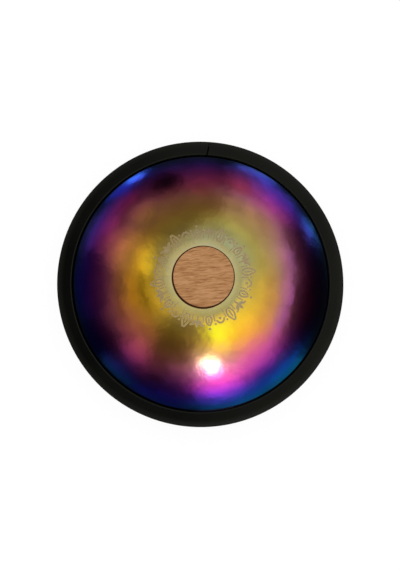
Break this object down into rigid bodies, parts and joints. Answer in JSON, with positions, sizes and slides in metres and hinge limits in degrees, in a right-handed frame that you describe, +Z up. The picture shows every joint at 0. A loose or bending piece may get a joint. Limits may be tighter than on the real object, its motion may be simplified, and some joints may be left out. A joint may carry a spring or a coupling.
{
  "type": "steel tongue drum",
  "caption": "Lens-shaped steel tongue drum: two rainbow-tempered domes joined by a black rubber rim, with a wooden cover that pulls out of the round sound port.",
  "frame": {"origin": "middle of the flat at the centre of the tongue side, on which the drum lies", "axes": "+Z up along the drum's axis, out of the wooden cover; -Y towards the longest tongue"},
  "size_m": [0.356, 0.356, 0.1473],
  "materials": {
    "tempered_steel": "satin, heat-tinted",
    "sealant": "matt",
    "rubber": "satin",
    "wood": "fine sanded",
    "felt": "felted"
  },
  "bodies": {
    "drum": {"port_shell": "tempered_steel", "tongue_shell": "tempered_steel", "flange_bond": "sealant", "edge_trim": "rubber"},
    "port_cover": {"cover_disc": "wood", "cover_spigot": "wood", "cover_washer": "felt", "cover_o_ring": "rubber"}
  },
  "joints": [
    {"name": "cover_pull", "type": "slide", "parent": "drum", "child": "port_cover", "axis": [0, 0, 1], "range_m": [0, 0.012]}
  ]
}
